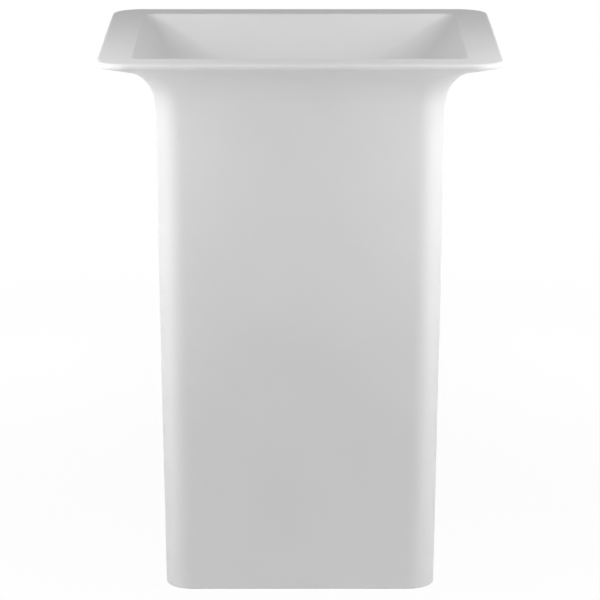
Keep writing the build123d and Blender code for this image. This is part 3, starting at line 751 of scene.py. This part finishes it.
def build_casting():
    """Rim, bowl, seat and column as one closed surface of stations, with the pads and the rear's cuts."""
    stations = np.concatenate([OUTSIDE, hollow_stations(), bowl_stations()])
    surface = plan_surface(stations)
    faces = grid_faces(len(stations), surface.shape[1], closed_rows=True)[:, ::-1]
    casting = make_piece("basin_casting", surface.reshape(-1, 3), faces, "cast_white")
    carve(casting, [
        ("UNION", pad_tool()),
        ("DIFFERENCE", rebate_tool()),
        ("DIFFERENCE", service_tool()),
        ("DIFFERENCE", finger_slot_tool()),
        ("DIFFERENCE", keeper_tool()),
        ("DIFFERENCE", insert_tool()),
    ])
    smooth(casting.data, CASTING_SMOOTH)
    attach(casting, "basin")
    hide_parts("basin_body")


def cut_thread(rows, top, bottom):
    """Cuts a thread into rows of a turned surface, between a top and a bottom level.

    How far the surface goes in is the thread's depth times a wave of height and angle together,
    (level / pitch + angle / 2 pi), flattened at its crests and roots; it fades out at both ends.
    """
    angle = np.arctan2(rows[..., 1], rows[..., 0])
    level = rows[..., 2]
    wave = np.cos(2 * pi * level / THREAD_PITCH - angle)
    cut = np.clip(0.5 + THREAD_STEEPNESS * wave, 0, 1)
    fade = np.clip((top - level) / THREAD_RUNOUT, 0, 1) * np.clip((level - bottom) / THREAD_RUNOUT, 0, 1)
    scale = 1 - THREAD_DEPTH * cut * fade / np.hypot(rows[..., 0], rows[..., 1])
    rows[..., 0] *= scale
    rows[..., 1] *= scale


def cross_tools():
    """The cross bar's arms and hub, and the hole in it that holds the cartridge."""
    top = DRAIN_LEVEL - CROSS_DROP
    bottom = top - CROSS_HEIGHT
    arm_reach = TAIL_RADIUS - TAIL_WALL / 2
    cuts = []
    for arm in range(CROSS_ARMS):
        turn = 2 * pi * arm / CROSS_ARMS
        along = Vector((cos(turn), sin(turn), 0))
        across = Vector((-along.y, along.x, 0)) * CROSS_WIDTH / 2
        ends = [-across, along * arm_reach - across, along * arm_reach + across, across]
        loops = np.array([[(*end.xy, level) for end in ends] for level in (bottom, top)])
        cuts.append(("UNION", tool_of(f"arm_{arm}", [loops])))
    hub = barrel((0, 0, bottom), (0, 0, 1), HUB_RADIUS, CROSS_HEIGHT)
    hole = barrel((0, 0, bottom - OVERSHOOT), (0, 0, 1), CARTRIDGE_HOLE, CROSS_HEIGHT + 2 * OVERSHOOT)
    return cuts + [("UNION", tool_of("hub", [hub])), ("DIFFERENCE", tool_of("hub_hole", [hole]))]


def build_waste():
    """The waste: flange and threaded tail as one turned surface, and the cross bar inside."""
    tail_top = DRAIN_LEVEL - FLANGE_THICKNESS
    tail_end = tail_top - TAIL_LENGTH
    bore = TAIL_RADIUS - TAIL_WALL
    turn = np.radians(np.linspace(0, 90, BEVEL_STEPS + 1))
    bevel = np.stack([
        FLANGE_RADIUS - FLANGE_BEVEL * (1 - np.sin(turn)),
        DRAIN_LEVEL - FLANGE_BEVEL * (1 - np.cos(turn)),
    ], axis=-1)
    flange = np.concatenate([bevel, [
        (FLANGE_RADIUS, tail_top + TURNED_MARGIN),
        (FLANGE_RADIUS, tail_top),
        (FLANGE_RADIUS - TURNED_MARGIN, tail_top),
        (TAIL_RADIUS + TURNED_MARGIN, tail_top),
    ]])
    tail = np.stack([
        np.full(THREAD_ROWS, TAIL_RADIUS),
        np.linspace(tail_top, tail_end, THREAD_ROWS),
    ], axis=-1)
    inside = [
        (TAIL_RADIUS - TURNED_MARGIN, tail_end),
        (bore + TURNED_MARGIN, tail_end),
        (bore, tail_end),
        (bore, tail_end + TURNED_MARGIN),
        (bore, DRAIN_LEVEL - MOUTH_BEVEL - TURNED_MARGIN),
        (bore, DRAIN_LEVEL - MOUTH_BEVEL),
        (bore + MOUTH_BEVEL, DRAIN_LEVEL),
        (bore + MOUTH_BEVEL + TURNED_MARGIN, DRAIN_LEVEL),
    ]
    profile = np.concatenate([flange, tail, inside])
    surface = turned_surface(profile)
    cut_thread(surface[len(flange):len(flange) + THREAD_ROWS], tail_top, tail_end)
    faces = grid_faces(len(profile), TURNED_COLUMNS, closed_rows=True)[:, ::-1]
    waste = make_piece("threaded_waste", surface.reshape(-1, 3), faces, "chrome_plate")
    carve(waste, cross_tools())
    smooth(waste.data, WASTE_SMOOTH)
    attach(waste, "basin")
    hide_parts("waste_body")


FINISHES = {
    "cast_white": casting_finish(),
    "plug_white": plug_finish(),
    "chrome_plate": chrome_finish(),
    "brass": turned_finish("brass", (0.70, 0.53, 0.27), (0.50, 0.36, 0.18), 0.22, ring_width=0.5 * MM),
    "magnet": turned_finish("magnet", (0.62, 0.62, 0.63), (0.55, 0.55, 0.56), 0.16, ring_width=0.8 * MM),
    "rubber": moulded_finish(
        "rubber", (0.032, 0.032, 0.034), (0.055, 0.054, 0.052), 0.68, grain_depth=0.03 * MM,
    ),
    "trap_plastic": moulded_finish(
        "trap_plastic", (0.70, 0.71, 0.72), (0.735, 0.74, 0.74), 0.34, grain_depth=0.02 * MM,
    ),
    "grey_plastic": moulded_finish(
        "grey_plastic", (0.31, 0.32, 0.34), (0.36, 0.37, 0.38), 0.44, grain_depth=0.03 * MM,
    ),
    "steel": zinc_finish(),
}
SLOT_OF = {piece["node"]: piece["material_slot"] for piece in frame["record"]["subparts"]}
for name, node in frame["nodes"].items():
    node.data.materials.clear()
    node.data.materials.append(FINISHES[SLOT_OF[name]])

build_casting()
build_waste()

# The floor lies a little below the casting's foot, so that the two don't flicker, and it goes from
# nearly white at the foot to pure white between two distances.
FLOOR_LEVEL = -0.2 * MM
FLOOR_REACH = 30.0
NEAR_FLOOR_WHITE = 0.94
FADE_START = 0.4
FADE_END = 2.5
SKY_LIGHT = 0.1

SOFTBOXES = [
    # name, place, aim, width, height, watts; each stands on the left and on the right
    ("camera_side", (0.45, -4.6, 1.9), (0, 0, 0.6), 0.9, 1.4, 17.5),
    ("high_side", (1.4, 0.0, 2.0), (0, 0, 0.75), 1.4, 1.0, 1.94),
    ("overhead", (0.35, -0.35, 1.6), (0, 0, 0.8), 0.4, 0.4, 0.5),
    ("above_bowl", (0.12, -0.05, 2.4), (0, 0, 0.8), 0.5, 0.5, 0.52),
    ("rim_rake", (0.8, -0.4, 1.1), (0, -0.1, 0.6), 0.4, 0.5, 3.07),
    ("column_rake", (0.6, -0.35, 0.6), (0, -0.1, 0.5), 0.3, 0.4, 0.79),
    ("foot_rake", (0.85, -0.3, 0.1), (0, -0.1, 0.05), 0.3, 0.14, 0.96),
    ("over_front", (0.5, -0.75, 1.1), (0, 0.1, 0.75), 0.5, 0.3, 0.86),
    ("behind", (0.8, 1.5, 0.5), (0, 0.1, 0.4), 0.8, 0.6, 5.5),
]

CAMERA_DISTANCE = 5.3399
CAMERA_HEIGHT = 1.6763
CAMERA_PITCH = 13.208         # below level
CAMERA_LENS = 205.91          # in millimetres, as the frame is
CAMERA_FRAME = 36.0


def build_floor():
    """A wide floor, pure white to the camera and to gloss far out, and shaded by the object near it."""
    finish = Finish("pale_floor", (0.86, 0.86, 0.86), 0.6)
    x, y, _ = finish.axes()
    distance = (x * x + y * y).root()
    white = NEAR_FLOOR_WHITE + (1 - NEAR_FLOOR_WHITE) * distance.steps(FADE_START, FADE_END)
    glow = finish.add("ShaderNodeEmission", inputs={"Strength": 1.0})
    mixed = finish.add("ShaderNodeMixShader", inputs={0: finish.seen() * white, 1: finish.shader, 2: glow})
    corners = FLOOR_REACH * np.array([(-1, -1), (1, -1), (1, 1), (-1, 1)])
    mesh = bpy.data.meshes.new("floor")
    mesh.from_pydata([(*corner, FLOOR_LEVEL) for corner in corners.tolist()], [], [(0, 1, 2, 3)])
    mesh.materials.append(finish.done(mixed))
    put_in_scene("floor", mesh)


def build_world():
    """White to the camera, in gloss and through glass, and a soft even light elsewhere."""
    world = bpy.data.worlds.new("studio")
    bpy.context.scene.world = world
    sky = Nodes(world)
    soft, white = (
        sky.add("ShaderNodeBackground", inputs={"Color": (1, 1, 1, 1), "Strength": strength})
        for strength in (SKY_LIGHT, 1.0)
    )
    mixed = sky.add("ShaderNodeMixShader", inputs={0: sky.seen(), 1: soft, 2: white})
    sky.add("ShaderNodeOutputWorld", inputs={"Surface": mixed})


def add_softbox(name, place, aim, width, height, power):
    """A soft rectangular lamp that points at a place."""
    data = bpy.data.lights.new(name, "AREA")
    data.shape = "RECTANGLE"
    data.size, data.size_y = width, height
    data.energy = power
    lamp = put_in_scene(name, data)
    lamp.location = place
    lamp.rotation_euler = (Vector(aim) - Vector(place)).to_track_quat("-Z", "Y").to_euler()
    lamp.visible_camera = False


def add_camera():
    """The camera stands in front, turned down to the basin."""
    data = bpy.data.cameras.new("camera")
    data.sensor_width = CAMERA_FRAME
    data.lens = CAMERA_LENS
    camera = put_in_scene("camera", data)
    camera.location = (0, -CAMERA_DISTANCE, CAMERA_HEIGHT)
    camera.rotation_euler = (radians(90 - CAMERA_PITCH), 0, 0)
    bpy.context.scene.camera = camera


build_floor()
build_world()
for name, (x, y, z), aim, width, height, power in SOFTBOXES:
    add_softbox(name + "_left", (-x, y, z), aim, width, height, power)
    add_softbox(name + "_right", (x, y, z), aim, width, height, power)
add_camera()
bpy.context.scene.view_settings.view_transform = "Standard"
